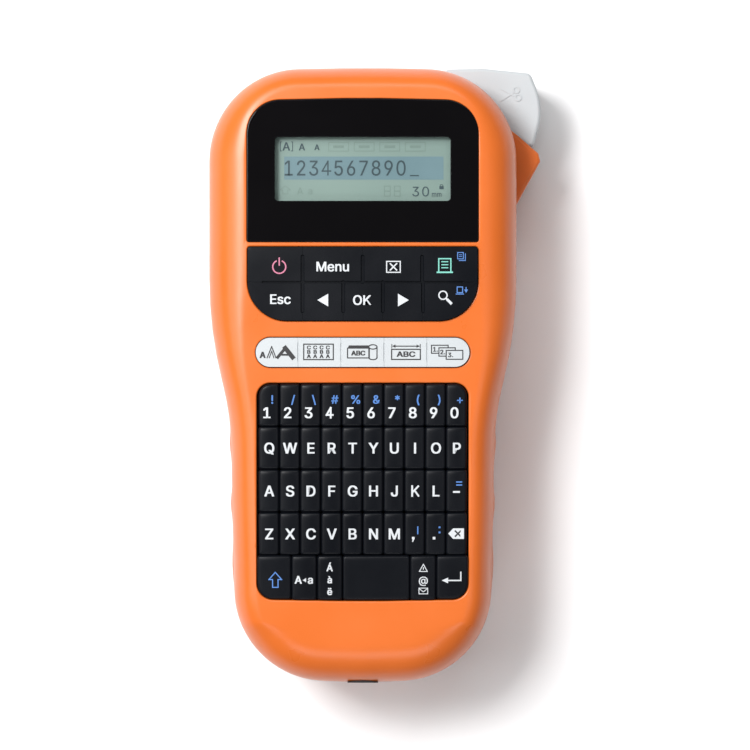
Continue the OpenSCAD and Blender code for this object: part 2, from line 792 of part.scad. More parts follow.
front_shell();
rear_shell();
back_cover();
chassis();
housing_screws();
display_window();
window_pane();
lcd_panel();
lcd_holder();
lcd_flex();
main_board();
key_membrane();
cutter_lever();
cutter_pin();
cutter_blade();
cutter_anvil();
cutter_spring();
print_head();
head_heat_sink();
head_carrier();
head_hinge_pin();
platen_roller();
platen_gear();
drive_motor();
motor_pinion();
idler_gear();
idler_post();
ribbon_spindle();
tape_cassette();
tape_roll();
label_tape();
battery_cells();
battery_contacts();
dc_jack();
color(key_colour) letter_key(3, 9);  // key_backspace
for (i = [0:8]) {
    nav_key(i);
}
for (i = [0:4]) {
    strip_key(i);
}
for (i = [0:5]) {
    bottom_key(i);
}
for (i = [0:3]) {
    letter_row(i, i == 3 ? 9 : 10);
}
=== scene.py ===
"""Looks for the label maker. Lengths are in millimetres here and become metres when a mesh is made."""
import json
import math
import pathlib

import bpy
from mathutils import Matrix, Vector


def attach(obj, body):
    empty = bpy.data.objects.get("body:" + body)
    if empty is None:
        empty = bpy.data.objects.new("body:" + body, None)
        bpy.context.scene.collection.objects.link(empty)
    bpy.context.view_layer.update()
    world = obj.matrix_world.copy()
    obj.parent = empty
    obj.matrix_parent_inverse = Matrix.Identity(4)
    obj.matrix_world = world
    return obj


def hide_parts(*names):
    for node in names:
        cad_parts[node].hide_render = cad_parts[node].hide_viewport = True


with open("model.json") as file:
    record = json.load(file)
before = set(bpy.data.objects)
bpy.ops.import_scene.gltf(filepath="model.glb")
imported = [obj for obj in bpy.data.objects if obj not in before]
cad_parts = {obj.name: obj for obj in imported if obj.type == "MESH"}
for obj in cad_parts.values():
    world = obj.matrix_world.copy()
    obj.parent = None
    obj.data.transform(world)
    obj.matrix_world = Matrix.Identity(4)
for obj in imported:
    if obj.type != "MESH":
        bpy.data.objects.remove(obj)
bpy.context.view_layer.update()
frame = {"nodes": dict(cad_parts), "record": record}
MM = 0.001

# ---- camera, lights and floor ----

SILHOUETTE_Z = 40
CAMERA_DISTANCE = 800
VIEW_WIDTH = 254.1
CAMERA_X, CAMERA_Y = 4.1, 0.1
SENSOR = 36
WORLD_STRENGTH = 0.12


def aim(obj, target):
    obj.rotation_euler = (Vector(target) - obj.location).to_track_quat("-Z", "Y").to_euler()


def add_camera():
    data = bpy.data.cameras.new("camera")
    data.sensor_width = SENSOR
    data.lens = SENSOR * CAMERA_DISTANCE / VIEW_WIDTH
    camera = bpy.data.objects.new("camera", data)
    camera.location = (CAMERA_X * MM, CAMERA_Y * MM, (SILHOUETTE_Z + CAMERA_DISTANCE) * MM)
    bpy.context.scene.collection.objects.link(camera)
    bpy.context.scene.camera = camera


def add_softbox(name, place, width, height, power):
    data = bpy.data.lights.new(name, "AREA")
    data.shape = "RECTANGLE"
    data.size = width
    data.size_y = height
    data.energy = power
    light = bpy.data.objects.new(name, data)
    light.location = place
    bpy.context.scene.collection.objects.link(light)
    aim(light, (0, 0, 0.03))


def add_world():
    """Dim surroundings, so that the black window stays black."""
    world = bpy.data.worlds.new("studio")
    world.use_nodes = True
    background = world.node_tree.nodes["Background"]
    background.inputs["Color"].default_value = (0.95, 0.97, 1.0, 1)
    background.inputs["Strength"].default_value = WORLD_STRENGTH
    bpy.context.scene.world = world


add_camera()
add_world()
add_softbox("key_left", (-0.42, 0.30, 0.88), 0.30, 0.34, 10.5)
add_softbox("broad_left", (-0.8, 0.0, 0.9), 0.5, 0.9, 4)
add_softbox("top", (-0.05, 0.75, 0.95), 1.0, 0.35, 5)
add_softbox("fill_right", (0.6, -0.1, 1.1), 0.4, 0.7, 1.2)
add_softbox("fill_front", (0.0, -0.75, 0.95), 0.9, 0.35, 3)
bpy.context.scene.view_settings.view_transform = "Standard"

# ---- materials ----


def new_material(name, colour, roughness, metallic=0.0):
    material = bpy.data.materials.new(name)
    material.use_nodes = True
    shader = material.node_tree.nodes["Principled BSDF"]
    shader.inputs["Base Color"].default_value = (*colour, 1)
    shader.inputs["Roughness"].default_value = roughness
    shader.inputs["Metallic"].default_value = metallic
    return material, shader


def noise(material, scale, detail=3.0, stretch=(1, 1, 1)):
    """Noise that is fixed to the piece; scale is in features per metre."""
    nodes, links = material.node_tree.nodes, material.node_tree.links
    place = nodes.new("ShaderNodeTexCoord")
    mapping = nodes.new("ShaderNodeMapping")
    mapping.inputs["Scale"].default_value = stretch
    texture = nodes.new("ShaderNodeTexNoise")
    texture.inputs["Scale"].default_value = scale
    texture.inputs["Detail"].default_value = detail
    links.new(place.outputs["Object"], mapping.inputs["Vector"])
    links.new(mapping.outputs["Vector"], texture.inputs["Vector"])
    return texture.outputs["Fac"]


def spread(material, source, low, high, target):
    """Drives a socket from a 0 to 1 source, between low and high."""
    nodes, links = material.node_tree.nodes, material.node_tree.links
    ranged = nodes.new("ShaderNodeMapRange")
    ranged.inputs["From Min"].default_value = 0.3
    ranged.inputs["From Max"].default_value = 0.7
    ranged.inputs["To Min"].default_value = low
    ranged.inputs["To Max"].default_value = high
    links.new(source, ranged.inputs["Value"])
    links.new(ranged.outputs["Result"], target)


def tint(material, shader, source, dark, light):
    """Varies the base colour between two close tones."""
    nodes, links = material.node_tree.nodes, material.node_tree.links
    ramp = nodes.new("ShaderNodeValToRGB")
    ramp.color_ramp.elements[0].position = 0.3
    ramp.color_ramp.elements[0].color = (*dark, 1)
    ramp.color_ramp.elements[1].position = 0.7
    ramp.color_ramp.elements[1].color = (*light, 1)
    links.new(source, ramp.inputs["Fac"])
    links.new(ramp.outputs["Color"], shader.inputs["Base Color"])


def bump(material, shader, source, height, strength=1.0):
    """Raises the surface by height, in metres."""
    nodes, links = material.node_tree.nodes, material.node_tree.links
    node = nodes.new("ShaderNodeBump")
    node.inputs["Strength"].default_value = strength
    node.inputs["Distance"].default_value = height
    links.new(source, node.inputs["Height"])
    links.new(node.outputs["Normal"], shader.inputs["Normal"])


def plastic(name, colour, roughness, grain=3500, height=0.00001, vary=0.06, shade=0.06, shine=0.5):
    """Moulded plastic: fine spark-eroded grain, slow change of gloss, slight change of tone."""
    material, shader = new_material(name, colour, roughness)
    shader.inputs["Specular IOR Level"].default_value = shine
    slow = noise(material, 40, 4)
    spread(material, slow, roughness - vary, roughness + vary, shader.inputs["Roughness"])
    dark = [c * (1 - shade) for c in colour]
    light = [min(1, c * (1 + shade)) for c in colour]
    tint(material, shader, slow, dark, light)
    bump(material, shader, noise(material, grain, 2), height, 0.35)
    return material


def metal(name, colour, roughness, stretch=(1, 1, 1)):
    material, shader = new_material(name, colour, roughness, 1.0)
    lines = noise(material, 900, 4, stretch)
    spread(material, lines, roughness - 0.08, roughness + 0.12, shader.inputs["Roughness"])
    tint(material, shader, lines, [c * 0.85 for c in colour], colour)
    bump(material, shader, lines, 0.00001, 0.3)
    return material


def clear_plastic(name):
    material, shader = new_material(name, (0.02, 0.02, 0.025), 0.04)
    shader.inputs["Alpha"].default_value = 0.06
    spread(material, noise(material, 60), 0.03, 0.06, shader.inputs["Roughness"])
    return material


def lcd_glass(name):
    """Reflective display: pale grey-green, with the faint grid of its dots."""
    material, shader = new_material(name, (0.20, 0.29, 0.26), 0.3)
    tint(material, shader, noise(material, 25, 2), (0.195, 0.28, 0.25), (0.22, 0.31, 0.275))
    bump(material, shader, noise(material, 5000, 1), 0.000004, 0.2)
    return material


SLOTS = {
    "orange_shell": plastic("orange_abs", (0.63, 0.134, 0.020), 0.32, 4200, 0.000012, 0.05, 0.03, 0.42),
    "black_window": plastic("black_acrylic", (0.0025, 0.0022, 0.0026), 0.08, 900, 0.000001, 0.02, 0.1, 0.2),
    "clear_window": clear_plastic("clear_acrylic"),
    "lcd_glass": lcd_glass("display_glass"),
    "key_black": plastic("key_plastic", (0.0035, 0.0042, 0.0062), 0.34, 5200, 0.00001, 0.06, 0.12, 0.14),
    "white_plastic": plastic("white_abs", (0.48, 0.505, 0.52), 0.38, 4200, 0.00001, 0.05, 0.02, 0.35),
    "grey_frame": plastic("grey_abs", (0.06, 0.063, 0.068), 0.5),
    "black_plastic": plastic("black_abs", (0.012, 0.012, 0.013), 0.4),
    "pale_plastic": plastic("acetal", (0.62, 0.60, 0.52), 0.45),
    "dark_rubber": plastic("soft_rubber", (0.014, 0.014, 0.015), 0.7, 2500, 0.00003),
    "circuit_board": plastic("solder_mask", (0.012, 0.11, 0.045), 0.35, 700, 0.00003),
    "flex_film": plastic("polyimide", (0.50, 0.20, 0.03), 0.3),
    "steel": metal("steel", (0.56, 0.57, 0.58), 0.3, (1, 12, 1)),
    "aluminium": metal("aluminium", (0.78, 0.79, 0.80), 0.38, (12, 1, 1)),
    "ceramic": plastic("ceramic", (0.72, 0.70, 0.64), 0.25),
    "brass": metal("brass", (0.76, 0.54, 0.22), 0.3),
    "tape_white": plastic("tape_film", (0.80, 0.79, 0.74), 0.3, 1200, 0.000006),
    "cell_jacket": plastic("cell_sleeve", (0.05, 0.06, 0.08), 0.28, 900, 0.000004),
}
INKS = {
    "white": plastic("ink_white", (0.55, 0.57, 0.59), 0.5, 6000, 0.000004, 0.04, 0.02),
    "blue": plastic("ink_blue", (0.07, 0.19, 0.50), 0.5, 6000, 0.000004, 0.04, 0.05),
    "red": plastic("ink_red", (0.50, 0.15, 0.24), 0.5, 6000, 0.000004, 0.04, 0.05),
    "teal": plastic("ink_teal", (0.17, 0.52, 0.43), 0.5, 6000, 0.000004, 0.04, 0.05),
    "cross": plastic("ink_key", (0.006, 0.007, 0.009), 0.5, 6000, 0.000004, 0.04, 0.1),
    "black": plastic("ink_black", (0.012, 0.012, 0.014), 0.5, 6000, 0.000004, 0.04, 0.1),
    "segment": plastic("lcd_dark", (0.03, 0.06, 0.07), 0.4, 6000, 0.000002, 0.04, 0.1),
    "ghost": plastic("lcd_ghost", (0.16, 0.235, 0.205), 0.4, 6000, 0.000002, 0.04, 0.02),
    "band": plastic("lcd_band", (0.14, 0.235, 0.26), 0.35, 3000, 0.000002, 0.04, 0.05),
}


def dress_nodes():
    for part in frame["record"]["subparts"]:
        piece = frame["nodes"].get(part["node"])
        if piece is None:
            continue
        for slot in piece.material_slots:
            slot.material = SLOTS[part["material_slot"]]
        if not piece.material_slots:
            piece.data.materials.append(SLOTS[part["material_slot"]])


dress_nodes()


def add_floor():
    size = 3.0
    mesh = bpy.data.meshes.new("floor")
    corners = [(-size, -size, 0), (size, -size, 0), (size, size, 0), (-size, size, 0)]
    mesh.from_pydata(corners, [], [(0, 1, 2, 3)])
    floor = bpy.data.objects.new("floor", mesh)
    mesh.materials.append(plastic("floor_paper", (0.90, 0.90, 0.905), 0.8, 400, 0.00002, 0.05, 0.01))
    bpy.context.scene.collection.objects.link(floor)


add_floor()

# ---- outlines ----


def rounded_path(corners, step=6.0):
    """Closed path with round corners: [(point, outward normal)], counter-clockwise.

    A corner is (x, y, radius). Round stretches turn by at most step degrees a point.
    """
    path = []
    count = len(corners)
    for i in range(count):
        a, b, c = (Vector(corners[(i + k) % count][:2]) for k in (-1, 0, 1))
        radius = corners[i][2]
        u = (a - b).normalized()
        v = (c - b).normalized()
        turn = 1 if (b - a).cross(c - b) > 0 else -1
        half = math.acos(max(-1, min(1, u.dot(v)))) / 2
        centre = b + (u + v).normalized() * radius / math.sin(half)
        first = b + u * radius / math.tan(half) - centre
        start = math.atan2(first.y, first.x)
        sweep = turn * (math.pi - 2 * half)
        steps = max(1, math.ceil(abs(math.degrees(sweep)) / step))
        for k in range(steps + 1):
            angle = start + sweep * k / steps
            direction = Vector((math.cos(angle), math.sin(angle)))
            path.append((centre + radius * direction, turn * direction))
    return path


def refine(path, longest):
    """Adds points on the straight stretches of a path."""
    fine = []
    for i, (point, normal) in enumerate(path):
        after, normal_after = path[(i + 1) % len(path)]
        pieces = max(1, math.ceil((after - point).length / longest))
        for k in range(pieces):
            t = k / pieces
            mixed = (normal * (1 - t) + normal_after * t).normalized()
            fine.append((point.lerp(after, t), mixed))
    return fine


def ring(path, inset, z):
    """One ring of a skin; inset is a number, or a function of the point."""
    depth = inset if callable(inset) else (lambda point: inset)
    return [(*(point - normal * depth(point)), z) for point, normal in path]


def box_path(x0, x1, y0, y1, r_low, r_top, step=10.0):
    return rounded_path([(x0, y0, r_low), (x1, y0, r_low), (x1, y1, r_top), (x0, y1, r_top)], step)


# ---- meshes ----


def build(name, verts, faces, material, weighted=True, angle=32):
    mesh = bpy.data.meshes.new(name)
    mesh.from_pydata([Vector(v) * MM for v in verts], [], faces)
    mesh.validate()
    obj = bpy.data.objects.new(name, mesh)
    bpy.context.scene.collection.objects.link(obj)
    if material:
        mesh.materials.append(material)
    finish_mesh(obj, weighted, angle)
    return obj


def finish_mesh(obj, weighted=True, angle=32):
    mesh = obj.data
    mesh.polygons.foreach_set("use_smooth", [True] * len(mesh.polygons))
    mesh.set_sharp_from_angle(angle=math.radians(angle))
    mesh.update()
    if weighted and not obj.modifiers:
        modifier = obj.modifiers.new("even_shading", "WEIGHTED_NORMAL")
        modifier.keep_sharp = True
        modifier.weight = 80


def loft_data(rings):
    """Closed skin through rings of equal count, lowest first, counter-clockwise seen from above."""
    n = len(rings[0])
    verts = [v for r in rings for v in r]
    faces = []
    for k in range(len(rings) - 1):
        for i in range(n):
            j = (i + 1) % n
            faces.append((k * n + i, k * n + j, (k + 1) * n + j, (k + 1) * n + i))
    faces.append(tuple(reversed(range(n))))
    faces.append(tuple((len(rings) - 1) * n + i for i in range(n)))
    return verts, faces


def loft(rings, name="cutter", material=None):
    verts, faces = loft_data(rings)
    return build(name, verts, faces, material, weighted=False)


def combine(obj, cutters, operation="DIFFERENCE"):
    """Applies booleans one by one and removes the cutters."""
    for cutter in cutters:
        obj.modifiers.clear()
        modifier = obj.modifiers.new("cut", "BOOLEAN")
        modifier.operation = operation
        modifier.solver = "MANIFOLD"
        modifier.object = cutter
        bpy.context.view_layer.update()
        evaluated = obj.evaluated_get(bpy.context.evaluated_depsgraph_get())
        mesh = bpy.data.meshes.new_from_object(evaluated)
        obj.modifiers.clear()
        obj.data = mesh
        bpy.data.objects.remove(cutter)
    finish_mesh(obj)
    return obj


def column(path, z0, z1, inset=0.0):
    return loft([ring(path, inset, z0), ring(path, inset, z1)])


def tube(x, y, z0, z1, radius, sides=48):
    turns = [2 * math.pi * k / sides for k in range(sides)]
    normals = [Vector((math.cos(a), math.sin(a))) for a in turns]
    return column([(normal * radius + Vector((x, y)), normal) for normal in normals], z0, z1)


def tube_along_y(x, z, y0, y1, radius):
    sides = 64
    rings = []
    for y in (y1, y0):
        rings.append([(x + radius * math.cos(a), y, z + radius * math.sin(a))
                      for a in (2 * math.pi * k / sides for k in range(sides))])
    return loft(rings)


# ---- body outline, the same as the CAD's ----

HEAD_HALF, GRIP_HALF, HALF_LENGTH, CORNER_R = 51.8, 44.5, 103.5, 31
FACE_Z, PARTING_Z, COVER_Z, WALL = 57.5, 30.0, 6.5, 2.2
RIDGES = [(-23.5, 7.5), (-43.5, 7.5), (-64, 11)]
RIDGE_HEIGHT = 0.55
BACK_DEPTH, BACK_DROP = 7.0, 9.0
NOTCH_CENTRE, NOTCH_R = -HALF_LENGTH - 14.6, 16

RIGHT = [
    (GRIP_HALF - 1.6, -HALF_LENGTH + 2.2, CORNER_R),
    (GRIP_HALF - 1.1, -70, 400),
    (GRIP_HALF - 0.5, -45, 900),
    (GRIP_HALF, -13.7, 95),
    (HEAD_HALF, 15, 140),
    (HEAD_HALF, HALF_LENGTH - 0.9, CORNER_R),
]
LEFT = [(-x, y, r) for x, y, r in reversed(RIGHT)]
OUTLINE = [(0, -HALF_LENGTH - 0.3, 200), *RIGHT, (0, HALF_LENGTH + 0.1, 400), *LEFT]
BODY = refine(rounded_path(OUTLINE, 4), 2.2)


def smooth(x, low, high):
    t = max(0, min(1, (x - low) / (high - low)))
    return t * t * (3 - 2 * t)


def ridge(point, z):
    """Height of the finger ridges on the sides of the grip."""
    if abs(point.x) < 35:
        return 0
    rise = 0
    for centre, half in RIDGES:
        t = (point.y - centre) / half
        if abs(t) < 1:
            rise = max(rise, math.cos(t * math.pi / 2) ** 2)
    return RIDGE_HEIGHT * rise * smooth(z, 12, 17) * (1 - smooth(z, 42, 47))


def front_depth(point):
    """How far the rounded edge of the front reaches in: wide round the display, narrow by the keyboard."""
    side = 9.0 + 4.4 * smooth(point.y, -12, 35) - 4.9 * smooth(point.y, 76, 103)
    end = 14.0 * (1 - smooth(point.y, -95, -70))
    return max(side, end) if point.y < -60 else side


def front_rings(extra, top, drop):
    """Skin of the front cover. The inner skin, with extra above zero, is plain and starts lower."""
    low = PARTING_Z - (3 if extra else 0)
    rings = []
    for z in (low, 33, 36, 39, 42, top - drop):
        rings.append(ring(BODY, lambda p: extra - (0 if extra else ridge(p, z)), z))
    steps = 18
    for k in range(1, steps + 1):
        angle = math.pi / 2 * k / steps
        z = top - drop * (1 - math.sin(angle))
        rings.append(ring(BODY, lambda p: extra + front_depth(p) * (1 - math.cos(angle)), z))
    rings.append(ring(BODY, lambda p: extra + front_depth(p) + 1.2, top + 0.001))
    return rings


def back_inset(z):
    """How far the rounded lower edge reaches in, at a height."""
    if z >= BACK_DROP:
        return 0
    return BACK_DEPTH * (1 - math.sqrt(max(0, 1 - ((BACK_DROP - z) / BACK_DROP) ** 2)))


def back_rings(heights, extra=0.0, bottom=0.0):
    rings = []
    for z in heights:
        inset = extra + back_inset(z - bottom)
        rings.append(ring(BODY, lambda p: inset - (0 if extra else ridge(p, z)), z))
    return rings


def lipped(path, z_low, top, lip=0.5, grow=0.0):
    """Cutter for an opening whose upper edge is rounded by lip."""
    rings = [ring(path, -grow, z_low)]
    for k in range(7):
        angle = math.pi / 2 * k / 6
        rings.append(ring(path, -grow - lip * (1 - math.cos(angle)), top - lip * (1 - math.sin(angle))))
    rings.append(ring(path, -grow - lip - 0.02, top + 3))
    return loft(rings)


# ---- layout of the front ----

WINDOW = (-38.4, 38.4, 44.2, 91.9)
PANE = (-29.1, 29.1, 57.8, 79.0)
NAV = (-38.1, 38.1, 18.1, 42.5)
NAV_MID = 30.85
STRIP_Y, STRIP_R, STRIP_HALF = 7.6, 4.85, 35.4
BOARD = (-34.9, 34.9, -74.7, -2.8)
PITCH, ROW = 6.9, 14.2


def window_path():
    """Window outline: square lower corners, wide upper corners and a slightly arched upper edge."""
    x0, x1, y0, y1 = WINDOW
    corners = [(x0, y0, 0.8), (x1, y0, 0.8), (x1, y1 - 0.8, 11.2), (0, y1, 300), (x0, y1 - 0.8, 11.2)]
    return rounded_path(corners, 5)


def nav_path():
    x0, x1, y0, y1 = NAV
    return box_path(x0, x1, y0, y1, 13.2, 0.8, 5)


def strip_path():
    r = STRIP_R - 0.01
    return box_path(-STRIP_HALF, STRIP_HALF, STRIP_Y - STRIP_R, STRIP_Y + STRIP_R, r, r, 5)


def board_path():
    x0, x1, y0, y1 = BOARD
    corners = [(x0, y0 + 0.6, 5.3), (0, y0, 400), (x1, y0 + 0.6, 5.3), (x1, y1, 4.3), (x0, y1, 4.3)]
    return rounded_path(corners, 6)


def jack_cutters():
    scoop = tube(0, NOTCH_CENTRE, 20, 52, NOTCH_R, 128)
    return [tube_along_y(0, PARTING_Z, -HALF_LENGTH - 5, -HALF_LENGTH + 7, 6.3), scoop]


def add_front_shell():
    shell = loft(front_rings(0, FACE_Z, 14.5), "front_cover", SLOTS["orange_shell"])
    cutters = [
        loft(front_rings(WALL, FACE_Z - WALL, 13.5)),
        lipped(window_path(), FACE_Z - 1.3, FACE_Z, 0.35, 0.1),
        column(box_path(-36.8, 36.8, 45.8, 90.2, 0.8, 9.6), FACE_Z - 6, FACE_Z),
        lipped(nav_path(), FACE_Z - 6, FACE_Z, 0.5, 0.2),
        lipped(strip_path(), FACE_Z - 6, FACE_Z, 0.5, 0.2),
        lipped(board_path(), FACE_Z - 6, FACE_Z, 0.6, 0.25),
        *jack_cutters(),
    ]
    combine(shell, cutters)
    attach(shell, "housing")
    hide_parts("front_shell")


# ---- rear shell with its beak, cover and lever ----

TAPE_ANGLE = math.radians(-29)
TAPE_EXIT = Vector((55.9, 64.9))
ALONG = Vector((math.cos(TAPE_ANGLE), math.sin(TAPE_ANGLE)))
ACROSS = Vector((-ALONG.y, ALONG.x))
PIVOT = (33.2, 90)
LEVER_LOW, LEVER_HIGH = 8.4, 29.7
BEAK = [(44, 58, 1.6), (51.7, 56.75, 3), (60.8, 73.3, 1.6), (60.1, 76, 1.6),
        (53, 82.2, 12), (48.8, 85.5, 1.6), (44, 85, 1.6)]
LEVER = [(28.2, 90, 4.9), (28.4, 84.9, 4.4), (44, 84.2, 4), (50.6, 82.2, 4), (58.3, 77.7, 1.5),
         (61.2, 88.4, 18), (60.6, 95.8, 18), (57.5, 103.7, 2.4), (41, 105.4, 12), (28, 105.1, 1.5)]
LEVER_ROOM = [(x, y, 0.5) for x, y in [
    (24.5, 110), (24.5, 99), (27.2, 94), (27.6, 88.5), (29, 84.2), (43, 83), (42.6, 79),
    (49, 70.5), (53.5, 69.8), (58.3, 74.2), (61, 80), (70, 90), (66, 110)]]


def at_tape(back, up):
    return TAPE_EXIT - back * ALONG + up * ACROSS


def double_area(corners):
    """Twice the area of a polygon, above zero when its corners run counter-clockwise."""
    points = [Vector(c[:2]) for c in corners]
    return sum(points[i].cross(points[(i + 1) % len(points)]) for i in range(len(points)))


def slab(corners, z0, z1):
    """Straight-sided prism over a plan given as points."""
    points = [Vector(c) for c in corners]
    if double_area(points) < 0:
        points.reverse()
    return loft([[(*p, z) for p in points] for z in (z0, z1)])


def edge_rings(path, z0, z1, low_r, high_r, steps=7):
    """Rings of a slab with round lower and upper edges."""
    rings = []
    for k in range(steps + 1):
        angle = math.pi / 2 * k / steps
        rings.append(ring(path, low_r * (1 - math.sin(angle)), z0 + low_r * (1 - math.cos(angle))))
    for k in range(steps + 1):
        angle = math.pi / 2 * k / steps
        rings.append(ring(path, high_r * (1 - math.cos(angle)), z1 - high_r * (1 - math.sin(angle))))
    return rings


def add_rear_shell():
    heights = [COVER_Z + 0.1, 7.2, 8, 9, 11, 13, 15, 17, 20, 23, 26, PARTING_Z - 0.12]
    shell = loft(back_rings(heights), "rear_cover", SLOTS["orange_shell"])
    beak_path = refine(rounded_path(BEAK, 8), 2)
    beak = loft(edge_rings(beak_path, COVER_Z + 0.1, PARTING_Z + 2, 0.6, 1.3))
    combine(beak, [column(BODY, PARTING_Z - 0.12, PARTING_Z + 4, -0.25)])
    combine(shell, [beak], "UNION")
    inner_beak = column(rounded_path(BEAK, 12), LEVER_LOW - 0.4, PARTING_Z, 1.5)
    room = column(rounded_path(LEVER_ROOM, 30), LEVER_LOW - 0.4, PARTING_Z + 0.15)
    inside = back_rings([WALL, 4, 6, 8, 10, 11.2, PARTING_Z + 1], WALL, WALL)
    slot = slab([at_tape(8, -1.5), at_tape(-6, -1.5), at_tape(-6, 1.5), at_tape(8, 1.5)], 8.3, 21.7)
    neck = slab([(40, 58.5), (50.0, 58.5), (50.2, 84), (40, 84)], LEVER_LOW - 0.4, PARTING_Z + 1)
    combine(shell, [loft(inside), inner_beak, neck, room, slot, *jack_cutters()])
    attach(shell, "housing")
    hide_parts("rear_shell")


def add_back_cover():
    heights = [0, 0.05, 0.3, 0.8, 1.5, 2.4, 3.4, 4.5, 5.5, COVER_Z - 0.25]
    rings = back_rings(heights)
    rings.append(ring(BODY, 0.2 + back_inset(COVER_Z), COVER_Z))
    cover = loft(rings, "rest_cover", SLOTS["orange_shell"])
    inside = loft(back_rings([WALL, 2.25, 2.6, 3.4, 4.5, 6, 8, 10], WALL, WALL))
    latch = [slab([(-9, -101), (9, -101), (9, -99.8), (-9, -99.8)], -1, 4)]
    for x in (-10.2, 9):
        latch.append(slab([(x, -101), (x + 1.2, -101), (x + 1.2, -89), (x, -89)], -1, 4))
    grips = [slab([(-6, y), (6, y), (6, y + 0.8), (-6, y + 0.8)], -1, 0.5) for y in (-97.5, -95.5, -93.5)]
    arrow = slab([(-2.5, -86), (2.5, -86), (0, -90)], -1, 0.4)
    combine(cover, [inside, *latch, *grips, arrow])
    ribs = [slab([(x, 36), (x + 1.2, 36), (x + 1.2, 80), (x, 80)], WALL - 0.5, 5.9) for x in (-30, -8, 14)]
    ribs += [slab([(x - 0.6, -68), (x + 0.6, -68), (x + 0.6, -30), (x - 0.6, -30)], WALL - 0.5, 3.7)
             for x in (-22.4, 0, 22.4)]
    combine(cover, ribs, "UNION")
    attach(cover, "cover")
    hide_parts("back_cover")


def add_lever():
    path = refine(rounded_path(LEVER, 6), 2)
    lever = loft(edge_rings(path, LEVER_LOW, LEVER_HIGH, 0.4, 1.25, 9), "thumb_lever", SLOTS["white_plastic"])
    combine(lever, [column(path, LEVER_LOW - 1, LEVER_HIGH - 1.8, 1.35)])
    arm = slab([at_tape(13.6, 5.2), at_tape(10.4, 5.2), at_tape(9.6, 15), at_tape(14, 15)], LEVER_LOW, 23.4)
    boss = tube(*PIVOT, LEVER_LOW, 28.6, 3.4)
    combine(lever, [arm, boss], "UNION")
    gap = slab([at_tape(12.35, 4), at_tape(11.65, 4), at_tape(11.65, 9), at_tape(12.35, 9)], 0, LEVER_HIGH)
    combine(lever, [tube(*PIVOT, 0, 40, 1.55), gap])
    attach(lever, "lever")
    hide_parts("cutter_lever")


def add_inlet_surround():
    """Dark insert that fills the notch round the power inlet."""
    radius, centre = NOTCH_R - 0.1, NOTCH_CENTRE
    low = -HALF_LENGTH + 0.45
    half = math.acos((low - centre) / radius)
    turns = [half - 2 * half * k / 24 for k in range(25)]
    outline = [(radius * math.sin(a), centre + radius * math.cos(a)) for a in turns]
    surround = slab(outline, 20.4, 48.5)
    surround.name = "inlet_surround"
    surround.data.materials.append(SLOTS["black_plastic"])
    combine(surround, [tube_along_y(0, PARTING_Z, -HALF_LENGTH - 5, -HALF_LENGTH + 7, 6.25)])
    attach(surround, "housing")


# ---- window ----


def add_window():
    lens = loft(edge_rings(window_path(), FACE_Z - 1.25, FACE_Z + 0.35, 0.05, 0.35, 5), "window_lens",
                SLOTS["black_window"])
    x0, x1, y0, y1 = PANE
    opening = lipped(box_path(x0, x1, y0, y1, 1.2, 1.2, 12), FACE_Z - 3, FACE_Z + 0.35, 0.12)
    combine(lens, [opening])
    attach(lens, "housing")
    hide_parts("display_window")


# ---- ink: thin printed marks that follow the surface below them ----

INK_THICK = 0.05
BOLD = 0.1


def plain_sans():
    """The plain sans-serif face that comes with Blender, or its built-in one."""
    path = pathlib.Path(bpy.utils.system_resource("DATAFILES")) / "fonts" / "Inter.woff2"
    return bpy.data.fonts.load(str(path)) if path.exists() else None


SANS = plain_sans()


def font_object(text, size):
    curve = bpy.data.curves.new("glyph", "FONT")
    if SANS:
        curve.font = SANS
    curve.body = text
    curve.size = size
    curve.extrude = INK_THICK / 2
    curve.resolution_u = 3
    obj = bpy.data.objects.new("glyph", curve)
    bpy.context.scene.collection.objects.link(obj)
    return obj


def glyph_data(text, size):
    obj = font_object(text, size)
    bpy.context.view_layer.update()
    evaluated = obj.evaluated_get(bpy.context.evaluated_depsgraph_get())
    mesh = bpy.data.meshes.new_from_object(evaluated)
    verts = [tuple(v.co) for v in mesh.vertices]
    faces = [tuple(p.vertices) for p in mesh.polygons]
    bpy.data.objects.remove(obj)
    bpy.data.meshes.remove(mesh)
    return verts, faces


CAPITAL = max(v[1] for v in glyph_data("H", 10)[0]) / 10


# Drawn with strokes, because the shapes the font has for these two do not fill cleanly
STROKED = {
    "4": [[(0.42, 0.05), (0.42, 0.95), (0.04, 0.3), (0.6, 0.3)]],
    "K": [[(0.02, 0.05), (0.02, 0.95)], [(0.58, 0.94), (0.08, 0.42)], [(0.24, 0.56), (0.6, 0.06)]],
}


def rectangle(x, y, w, h):
    """Corners of a rectangle about its centre."""
    left, right = x - w / 2, x + w / 2
    low, high = y - h / 2, y + h / 2
    return [(left, low), (right, low), (right, high), (left, high)]


